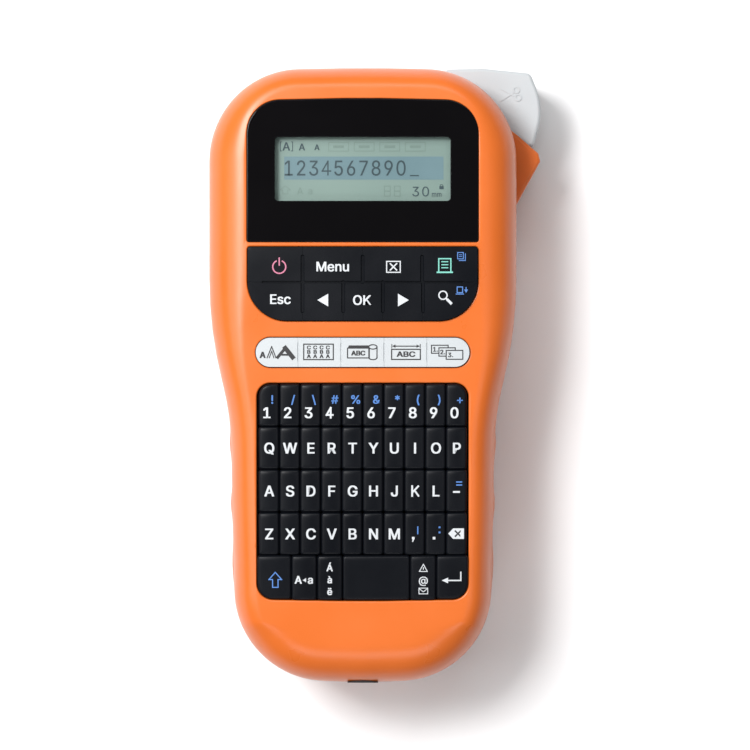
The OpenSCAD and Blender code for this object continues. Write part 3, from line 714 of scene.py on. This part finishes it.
class Ink:
    """Collects marks of one colour on one body and makes them one piece."""

    def __init__(self, name, body, colour, surface, thick=INK_THICK):
        self.name, self.body, self.colour, self.surface, self.thick = name, body, colour, surface, thick
        self.verts, self.faces, self.layer = [], [], 0
        self.weight = 1.3 if colour == "black" else 1.0

    def add(self, verts, faces):
        """Adds one mark; marks that overlap lie at slightly different heights."""
        base = len(self.verts)
        lift = 0.02 + 0.003 * self.layer
        self.layer = (self.layer + 1) % 16
        cx = sum(v[0] for v in verts) / len(verts)
        cy = sum(v[1] for v in verts) / len(verts)
        slope_x = (self.surface(cx + 0.1, cy) - self.surface(cx - 0.1, cy)) / 0.2
        slope_y = (self.surface(cx, cy + 0.1) - self.surface(cx, cy - 0.1)) / 0.2
        height = self.surface(cx, cy) + lift
        for x, y, z in verts:
            self.verts.append((x, y, z + height + slope_x * (x - cx) + slope_y * (y - cy)))
        self.faces.extend(tuple(base + i for i in face) for face in faces)

    def strokes(self, lines, x, y, height, width):
        """Draws a sign from strokes given on a grid that is one high."""
        for line in lines:
            self.line([(x + (u - 0.3) * height, y + (v - 0.5) * height) for u, v in line], width)

    def text(self, text, x, y, height, bold=BOLD, wide=1.0):
        if text in STROKED:
            self.strokes(STROKED[text], x, y, height, height * 0.07 + bold * 2.6)
            return
        verts, faces = glyph_data(text, (height - bold) / CAPITAL)
        middle = (min(v[0] for v in verts) + max(v[0] for v in verts)) / 2
        low = y - (height - bold) / 2
        spots = [(-1, -0.5), (-1, 0.5), (-0.5, 0), (0, 0.5), (0, -0.5), (0.5, 0), (1, 0.5), (1, -0.5)]
        for dx, dy in spots if bold else [(0, 0)]:
            self.add([((v[0] - middle) * wide + x + dx * bold, v[1] + low + dy * bold, v[2])
                      for v in verts], faces)

    def fill(self, points):
        points = list(points) if double_area(points) > 0 else list(reversed(points))
        n = len(points)
        verts = [(x, y, z) for z in (-self.thick / 2, self.thick / 2) for x, y in points]
        faces = [(i, (i + 1) % n, n + (i + 1) % n, n + i) for i in range(n)]
        faces.append(tuple(reversed(range(n))))
        faces.append(tuple(range(n, 2 * n)))
        self.add(verts, faces)

    def line(self, points, width, closed=False):
        pairs = list(zip(points, points[1:] + points[:1])) if closed else list(zip(points, points[1:]))
        for a, b in pairs:
            a, b = Vector(a), Vector(b)
            along = (b - a).normalized() * width * self.weight / 2
            side = Vector((-along.y, along.x))
            corners = (a - along - side, b + along - side, b + along + side, a - along + side)
            self.fill([tuple(p) for p in corners])

    def frame(self, x0, x1, y0, y1, width):
        self.box((x0 + x1) / 2, (y0 + y1) / 2, x1 - x0, y1 - y0, width)

    def box(self, x, y, w, h, width):
        self.line(rectangle(x, y, w, h), width, True)

    def block(self, x, y, w, h):
        self.fill(rectangle(x, y, w, h))

    def arc(self, x, y, radius, width, start=0, end=360, steps=24):
        points = [(x + radius * math.cos(math.radians(start + (end - start) * k / steps)),
                   y + radius * math.sin(math.radians(start + (end - start) * k / steps)))
                  for k in range(steps + 1)]
        self.line(points, width)

    def done(self):
        if not self.verts:
            return
        piece = build(self.name, self.verts, self.faces, INKS[self.colour], weighted=False, angle=20)
        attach(piece, self.body)


# ---- keys ----

KEY_TOP, LETTER_TOP = 58.4, 59.0
GAP = 0.06
LETTER_CROWN, LETTER_FALL, LETTER_EDGE = 0.42, 0.95, 0.8
SHARP, SHARP_EDGE = 0.05, 0.04
CAP_FOOT = 53.5


class Key:
    """A moulded key: round edges, a crowned top that falls away towards its lower edge."""

    def __init__(self, x0, x1, y0, y1, top, crown, fall, radii=None, corner=0.9, edge=0.5):
        g = GAP / 2
        self.x0, self.x1, self.y0, self.y1 = x0 + g, x1 - g, y0 + g, y1 - g
        self.top, self.crown, self.fall, self.edge = top, crown, fall, edge
        self.radii = radii or [corner] * 4

    def surface(self, x, y):
        u = (x - (self.x0 + self.x1) / 2) / ((self.x1 - self.x0) / 2)
        v = (y - (self.y0 + self.y1) / 2) / ((self.y1 - self.y0) / 2)
        down = max(0, min(1, (1 - v) / 2))
        lip = max(0, (v - 0.78) / 0.22)
        return self.top - self.crown * u * u - self.fall * (down + 0.3 * lip * lip)

    def data(self):
        low_left, low_right, top_right, top_left = self.radii
        path = rounded_path([(self.x0, self.y0, low_left), (self.x1, self.y0, low_right),
                             (self.x1, self.y1, top_right), (self.x0, self.y1, top_left)], 9)
        path = refine(path, 1.2)
        rings = [ring(path, 0, CAP_FOOT)]
        steps = 6
        for k in range(steps + 1):
            angle = math.pi / 2 * k / steps
            inset = self.edge * (1 - math.cos(angle))
            flat = ring(path, inset, 0)
            drop = self.edge * (1 - math.sin(angle))
            rings.append([(x, y, self.surface(x, y) - drop) for x, y, _ in flat])
        centre = Vector(((self.x0 + self.x1) / 2, (self.y0 + self.y1) / 2))
        last = [Vector((x, y)) for x, y, _ in rings[-1]]
        for scale in (0.85, 0.65, 0.45, 0.25, 0.08):
            points = [centre + (p - centre) * scale for p in last]
            rings.append([(p.x, p.y, self.surface(p.x, p.y)) for p in points])
        return loft_data(rings)


def groove(points, width, depth, top):
    """Cutter for a round-ended groove along a straight line."""
    a, b = Vector(points[0]), Vector(points[1])
    along = (b - a).normalized()
    side = Vector((-along.y, along.x))
    rings = []
    turns = [math.pi * k / 8 - math.pi / 2 for k in range(9)]
    for z, share in ((top - depth, 0.28), (top - depth * 0.55, 0.42), (top + 0.02, 0.5), (top + 1, 0.62)):
        half = width * share
        bulge = [half * (along * math.cos(t) + side * math.sin(t)) for t in turns]
        rings.append([(p.x, p.y, z) for p in [b + v for v in bulge] + [a - v for v in bulge]])
    return loft(rings)


def add_keys(name, body, keys, material, grooves=()):
    verts, faces = [], []
    for key in keys:
        v, f = key.data()
        base = len(verts)
        verts.extend(v)
        faces.extend(tuple(base + i for i in face) for face in f)
    piece = build(name, verts, faces, SLOTS[material], weighted=False, angle=50)
    if grooves:
        combine(piece, [groove(*g) for g in grooves])
    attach(piece, body)
    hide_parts(body)


def key_surface(keys):
    """Surface of whichever key lies under a point."""
    def surface(x, y):
        best = min(keys, key=lambda k: max(k.x0 - x, x - k.x1, 0) + max(k.y0 - y, y - k.y1, 0))
        return best.surface(min(max(x, best.x0), best.x1), min(max(y, best.y0), best.y1))
    return surface


def letter_key(row, column):
    x = (column - 5) * PITCH
    top = BOARD[3] - row * ROW
    radii = None
    if row == 0 and column == 0:
        radii = [0.9, 0.9, 0.9, 4.0]
    if row == 0 and column == 9:
        radii = [0.9, 0.9, 4.0, 0.9]
    return Key(x, x + PITCH, top - ROW, top, LETTER_TOP, LETTER_CROWN, LETTER_FALL, radii, edge=LETTER_EDGE)


def column_x(column):
    return (column - 4.5) * PITCH


def row_y(row):
    return BOARD[3] - (row + 0.5) * ROW


LETTER_H = 3.6


def add_letter_rows():
    rows = [("digits", "1234567890"), ("upper", "QWERTYUIOP"), ("home", "ASDFGHJKL–"), ("lower", "ZXCVBNM,.")]
    for row, (name, letters) in enumerate(rows):
        body = "keys_" + name
        keys = [letter_key(row, column) for column in range(len(letters))]
        add_keys("caps_" + name, body, keys, "key_black")
        surface = key_surface(keys)
        white = Ink("marks_" + name, body, "white", surface)
        blue = Ink("shift_marks_" + name, body, "blue", surface)
        for column, letter in enumerate(letters):
            x, y = column_x(column), row_y(row)
            if row == 0:
                white.text(letter, x - 0.65, y - 2.5, LETTER_H, 0.13)
                blue.text("!/\\#%&*()+"[column], x + 1.15, y + 1.9, 2.8, 0.08)
            elif letter in ",.":
                white.block(x - 0.5, y - 1.4, 0.85, 0.85)
            elif letter == "I":
                white.block(x + 0.1, y, 0.7, LETTER_H)
            elif letter == "–":
                white.block(x, y - 0.3, 2.3, 0.62)
                for lift in (2.0, 3.0):
                    blue.block(x + 0.9, y + lift, 2.0, 0.42)
            else:
                white.text(letter, x + 0.15, y, LETTER_H, 0.13)
        if row == 3:
            comma = column_x(7) - 0.5
            white.line([(comma + 0.2, y - 1.5), (comma - 0.15, y - 2.4)], 0.4)
            blue.block(column_x(7) + 1.0, row_y(3) + 1.2, 0.4, 2.6)
            for lift in (0.5, 2.2):
                blue.block(column_x(8) + 1.3, row_y(3) + lift, 0.6, 0.6)
        white.done()
        blue.done()


def add_single_key(node, key, draw=None, material="key_black", grooves=()):
    add_keys("cap_" + node, node, [key], material, grooves)
    inks = {colour: Ink("mark_" + colour + "_" + node, node, colour, key.surface) for colour in INKS}
    inks["cross"].layer = 12
    if draw:
        draw(inks)
    for ink in inks.values():
        ink.done()


def draw_backspace(inks):
    ink, x, y = inks["white"], column_x(9) + 0.1, row_y(3) + 0.1
    half = 1.75
    ink.fill([(x - 2.8, y), (x - 1.2, y - half), (x + 2.4, y - half), (x + 2.4, y + half),
              (x - 1.2, y + half)])
    for way in (-1, 1):
        inks["cross"].line([(x - 0.45, y - 0.85 * way), (x + 1.25, y + 0.85 * way)], 0.5)


BOTTOM_EDGES = [-34.9, -23.6, -15.1, -6.6, 15.7, 24.4, 34.9]
BOTTOM_Y = -67.7


def draw_shift(inks):
    x, y = -28.9, BOTTOM_Y
    corners = [(x - 0.9, y - 2.5), (x + 0.9, y - 2.5), (x + 0.9, y + 0.1), (x + 2.1, y + 0.1),
               (x, y + 2.5), (x - 2.1, y + 0.1), (x - 0.9, y + 0.1)]
    inks["blue"].line(corners, 0.34, True)


def draw_capitals(inks):
    ink, x, y = inks["white"], -19.3, BOTTOM_Y
    ink.text("A", x - 2.0, y, 2.6, 0.1)
    ink.fill([(x - 0.5, y - 0.1), (x + 0.6, y - 0.8), (x + 0.6, y + 0.6)])
    ink.text("a", x + 2.0, y, 2.6, 0.1)


def draw_accents(inks):
    for letter, y in (("Á", -63.7), ("à", -67.7), ("ë", -71.6)):
        inks["white"].text(letter, -10.9, y, 2.3, 0.1)


def draw_symbol(inks):
    ink, x = inks["white"], 20.1
    ink.line([(x - 1.3, -64.9), (x + 1.3, -64.9), (x, -62.5)], 0.25, True)
    ink.block(x, -63.9, 0.28, 0.9)
    ink.text("@", x, -67.8, 2.5, 0.04)
    ink.box(x, -71.4, 2.9, 1.9, 0.25)
    ink.line([(x - 1.4, -70.6), (x, -71.7), (x + 1.4, -70.6)], 0.25)


def draw_enter(inks):
    ink, x, y = inks["white"], 29.6, BOTTOM_Y
    ink.line([(x + 2.9, y + 2.5), (x + 2.9, y - 0.2), (x - 1.4, y - 0.2)], 0.45)
    ink.fill([(x - 3.4, y - 0.2), (x - 1.3, y - 1.15), (x - 1.3, y + 0.75)])


def add_bottom_row():
    drawings = {"shift": draw_shift, "capitals": draw_capitals, "accents": draw_accents, "space": None,
                "symbol": draw_symbol, "enter": draw_enter}
    top = BOARD[3] - 4 * ROW
    for i, (name, draw) in enumerate(drawings.items()):
        radii = {0: [5.0, 0.9, 0.9, 0.9], 5: [0.9, 5.0, 0.9, 0.9]}.get(i)
        low = BOARD[2] + (0.45 if i in (0, 5) else 0.15)
        x0, x1 = BOTTOM_EDGES[i], BOTTOM_EDGES[i + 1]
        key = Key(x0, x1, low, top, LETTER_TOP, LETTER_CROWN, LETTER_FALL, radii, edge=LETTER_EDGE)
        add_single_key("key_" + name, key, draw)


def draw_power(inks):
    ink, x, y = inks["red"], -27.6, 35.9
    ink.arc(x, y, 2.15, 0.42, 118, 422)
    ink.block(x, y + 1.75, 0.44, 2.7)


def draw_clear(inks):
    ink, x, y = inks["white"], 10.2, 35.9
    ink.box(x, y, 4.5, 3.6, 0.36)
    ink.line([(x - 1.05, y - 1.05), (x + 1.05, y + 1.05)], 0.42)
    ink.line([(x - 1.05, y + 1.05), (x + 1.05, y - 1.05)], 0.42)


def draw_print(inks):
    ink, x, y = inks["teal"], 27.2, 36.2
    ink.line([(x - 2.0, y - 2.0), (x - 2.0, y + 2.4), (x + 2.0, y + 2.4), (x + 2.0, y - 2.0)], 0.4)
    for lift in (1.4, 0.4, -0.6):
        ink.block(x, y + lift, 2.3, 0.34)
    ink.block(x, y - 2.1, 5.4, 0.5)
    blue = inks["blue"]
    blue.box(32.4, 39.6, 1.9, 2.1, 0.26)
    blue.line([(32.0, 38.0), (34.0, 38.0), (34.0, 40.2)], 0.26)
    blue.block(32.4, 39.9, 1.0, 0.22)
    blue.block(32.4, 39.3, 1.0, 0.22)


def draw_search(inks):
    ink, x, y = inks["white"], 27.1, 25.9
    ink.arc(x - 0.5, y + 0.6, 1.35, 0.4)
    ink.line([(x + 0.6, y - 0.5), (x + 1.0, y - 0.9)], 0.5)
    ink.line([(x + 1.1, y - 1.0), (x + 2.1, y - 2.0)], 0.85)
    blue = inks["blue"]
    blue.box(32.2, 28.3, 1.8, 1.9, 0.3)
    blue.line([(31.0, 26.9), (33.4, 26.9)], 0.3)
    blue.fill([(33.6, 28.4), (34.9, 28.4), (34.25, 27.3)])
    blue.block(34.25, 28.7, 0.3, 1.0)


def words(text, x, y):
    return lambda inks: inks["white"].text(text, x, y, 3.2, 0.1)


def arrow(x, y, way):
    corners = [(x + 1.8 * way, y), (x - 1.8 * way, y - 2.1), (x - 1.8 * way, y + 2.1)]
    return lambda inks: inks["white"].fill(corners)


def nav_grooves():
    """Grooves that set the pad's keys apart; they stop short of its rim."""
    width, depth = 1.25, 0.5
    lines = [((-33.0, NAV_MID), (33.0, NAV_MID), 0.75)]
    lines += [((x, NAV_MID), (x, 39.3), width) for x in (-19.9, 0, 19.7)]
    lines += [((x, 21.2), (x, NAV_MID), width) for x in (-19.9, -6.4, 6.7, 20)]
    return [((a, b), w, depth, KEY_TOP) for a, b, w in lines]


def add_nav_keys():
    x0, x1, y0, y1 = NAV
    upper = [x0, -19.9, 0, 19.7, x1]
    lower = [x0, -19.9, -6.4, 6.7, 20, x1]
    top_row = {
        "power": draw_power,
        "menu": words("Menu", -9.9, 36.0),
        "clear": draw_clear,
        "print": draw_print,
    }
    low_row = {
        "escape": words("Esc", -27.2, 25.2),
        "left": arrow(-13.2, 24.9, -1),
        "ok": words("OK", -0.2, 24.9),
        "right": arrow(13.5, 24.9, 1),
        "search": draw_search,
    }
    for i, (name, draw) in enumerate(top_row.items()):
        radii = {0: [SHARP, SHARP, SHARP, 0.8], 3: [SHARP, SHARP, 0.8, SHARP]}.get(i)
        key = Key(upper[i], upper[i + 1], NAV_MID, y1, KEY_TOP, 0, 0, radii, corner=SHARP, edge=SHARP_EDGE)
        add_single_key("key_" + name, key, draw, grooves=nav_grooves())
    for i, (name, draw) in enumerate(low_row.items()):
        radii = {0: [12.7, SHARP, SHARP, SHARP], 4: [SHARP, 12.7, SHARP, SHARP]}.get(i)
        key = Key(lower[i], lower[i + 1], y0, NAV_MID, KEY_TOP, 0, 0, radii, corner=SHARP, edge=SHARP_EDGE)
        add_single_key("key_" + name, key, draw, grooves=nav_grooves())


def draw_text_size(inks):
    ink, base = inks["black"], 5.7
    ink.text("A", -33.1, base + 1.05, 2.1, 0.16)
    ink.line([(-31.6, base + 0.1), (-30.1, base + 3.8), (-28.7, base + 0.1)], 0.26)
    ink.line([(-30.9, base + 0.1), (-30.1, base + 2.3), (-29.4, base + 0.1)], 0.22)
    ink.line([(-28.1, base + 0.3), (-25.6, base + 3.3)], 0.75)
    ink.line([(-25.6, base + 3.3), (-23.2, base + 0.3)], 1.15)
    ink.block(-25.6, base + 1.1, 3.2, 0.6)


def draw_symbols(inks):
    ink, x, y = inks["black"], -14.6, STRIP_Y + 0.15
    ink.box(x, y, 9.8, 5.1, 0.3)
    for cx in (x - 3.2, x - 1.1, x + 1.0, x + 3.1):
        for k, letter in enumerate("CBA"):
            ink.text(letter, cx, y + 1.45 - 1.45 * k, 1.25, 0.09, 1.15)


def draw_cable_wrap(inks):
    ink = inks["black"]
    ink.frame(-5.0, 2.2, 5.75, 9.0, 0.28)
    ink.fill([(-5.0, 9.0), (2.2, 9.0), (2.2, 9.9), (-4.5, 9.9)])
    steps = [math.pi * k / 12 for k in range(25)]
    ink.line([(3.4 + 1.35 * math.cos(a), 9.4 + 0.72 * math.sin(a)) for a in steps], 0.26)
    ink.line([(2.05, 9.3), (2.05, 5.9)], 0.26)
    ink.line([(4.75, 9.3), (4.75, 5.9)], 0.26)
    ink.line([(3.4 + 1.35 * math.cos(a), 5.9 - 0.72 * math.sin(a)) for a in steps[:13]], 0.26)
    ink.text("ABC", -1.45, 7.35, 1.6, 0.12, 1.1)


def draw_fixed_length(inks):
    ink = inks["black"]
    ink.frame(9.6, 19.1, 5.25, 8.6, 0.3)
    ink.text("ABC", 14.35, 7.0, 1.8, 0.12, 1.3)
    ink.line([(10.2, 9.65), (18.5, 9.65)], 0.26)
    for edge, way in ((9.65, 1), (19.05, -1)):
        ink.block(edge, 9.65, 0.24, 1.4)
        ink.fill([(edge + 0.1 * way, 9.65), (edge + 1.2 * way, 10.2), (edge + 1.2 * way, 9.1)])


def draw_numbering(inks):
    ink = inks["black"]
    ink.line([(25.0, 7.3), (22.8, 7.3), (22.8, 9.95), (28.3, 9.95), (28.3, 9.35)], 0.26)
    ink.line([(27.4, 6.35), (25.25, 6.35), (25.25, 9.1), (30.65, 9.1), (30.65, 8.5)], 0.26)
    ink.frame(27.65, 33.15, 5.3, 8.25, 0.26)
    for digit, x, y in (("1.", 24.1, 8.6), ("2.", 26.5, 7.7), ("3.", 29.1, 6.75)):
        ink.text(digit, x, y, 1.5, 0.08)


def add_strip_keys():
    edges = [-STRIP_HALF, -21.4, -7.2, 7.1, 21.3, STRIP_HALF]
    drawings = {"text_size": draw_text_size, "symbols": draw_symbols, "cable_wrap": draw_cable_wrap,
                "fixed_length": draw_fixed_length, "numbering": draw_numbering}
    y0, y1 = STRIP_Y - STRIP_R, STRIP_Y + STRIP_R
    for i, (name, draw) in enumerate(drawings.items()):
        r = STRIP_R - GAP
        radii = {0: [r, SHARP, SHARP, r], 4: [SHARP, r, r, SHARP]}.get(i)
        key = Key(edges[i], edges[i + 1], y0, y1, KEY_TOP, 0, 0, radii, corner=SHARP, edge=SHARP_EDGE)
        lines = [(((x, 4.8), (x, 10.4)), 0.5, 0.25, KEY_TOP) for x in edges[1:-1]]
        add_single_key("key_" + name, key, draw, "white_plastic", lines)


# ---- display contents and the mark on the lever ----

LCD_Z = 54.8


def add_display():
    flat = lambda x, y: LCD_Z + 0.01
    over = lambda x, y: LCD_Z + 0.07
    band = Ink("lcd_band", "housing", "band", flat)
    band.block(0.4, 68.9, 53.0, 7.7)
    band.done()
    dark = Ink("lcd_segments", "housing", "segment", over)
    dark.line([(-27.0, 74.6), (-27.4, 74.6), (-27.4, 77.6), (-27.0, 77.6)], 0.24)
    dark.line([(-23.7, 74.6), (-23.3, 74.6), (-23.3, 77.6), (-23.7, 77.6)], 0.24)
    dark.text("A", -25.4, 76.1, 2.8, 0.08)
    dark.text("A", -20.2, 75.9, 2.3, 0.08)
    dark.text("A", -15.2, 75.8, 1.9, 0.08)
    for k, digit in enumerate("1234567890"):
        dark.text(digit, -24.6 + 4.15 * k, 68.9, 5.0, 0.04, 0.86)
    dark.block(17.2, 66.4, 3.0, 0.4)
    dark.text("3", 17.6, 61.1, 3.2, 0.0)
    dark.text("0", 20.9, 61.1, 3.2, 0.0)
    dark.text("mm", 24.6, 60.2, 1.7, 0.0, 0.85)
    dark.block(26.2, 62.4, 1.4, 1.0)
    dark.arc(26.2, 62.9, 0.5, 0.2, 0, 180, 8)
    dark.done()
    ghost = Ink("lcd_ghosts", "housing", "ghost", flat)
    for x in (-8.0, 0.5, 9.0, 17.5):
        ghost.box(x, 76.0, 6.6, 2.9, 0.22)
        ghost.block(x, 76.0, 3.6, 0.9)
    ghost.line([(-26.6, 60.3), (-24.9, 60.3), (-24.9, 61.6), (-24.0, 61.6), (-25.75, 63.0), (-27.5, 61.6),
                (-26.6, 61.6)], 0.2, True)
    ghost.text("A", -20.8, 61.3, 2.2, 0.0)
    ghost.text("a", -17.4, 61.3, 2.2, 0.0)
    for x in (8.2, 11.5):
        ghost.box(x, 62.1, 1.9, 1.6, 0.26)
        ghost.box(x, 60.4, 1.9, 1.6, 0.26)
    ghost.done()


def add_scissors():
    """Raised scissors mark on the thumb face of the lever."""
    mark = Ink("lever_mark", "lever", "white", lambda x, y: LEVER_HIGH, 0.4)
    x, y = 50.6, 96.6
    mark.line([(x + 1.3, y + 0.6), (x - 3.2, y - 2.4)], 0.5)
    mark.line([(x + 1.6, y - 0.8), (x - 3.2, y + 1.7)], 0.5)
    mark.arc(x + 2.0, y + 1.3, 1.0, 0.45)
    mark.arc(x + 2.6, y - 1.3, 1.0, 0.45)
    piece = build(mark.name, mark.verts, mark.faces, SLOTS["white_plastic"], weighted=False)
    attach(piece, "lever")


add_front_shell()
add_rear_shell()
add_back_cover()
add_lever()
add_window()
add_letter_rows()
add_single_key("key_backspace", letter_key(3, 9), draw_backspace)
add_bottom_row()
add_nav_keys()
add_strip_keys()
add_display()
add_scissors()
add_inlet_surround()
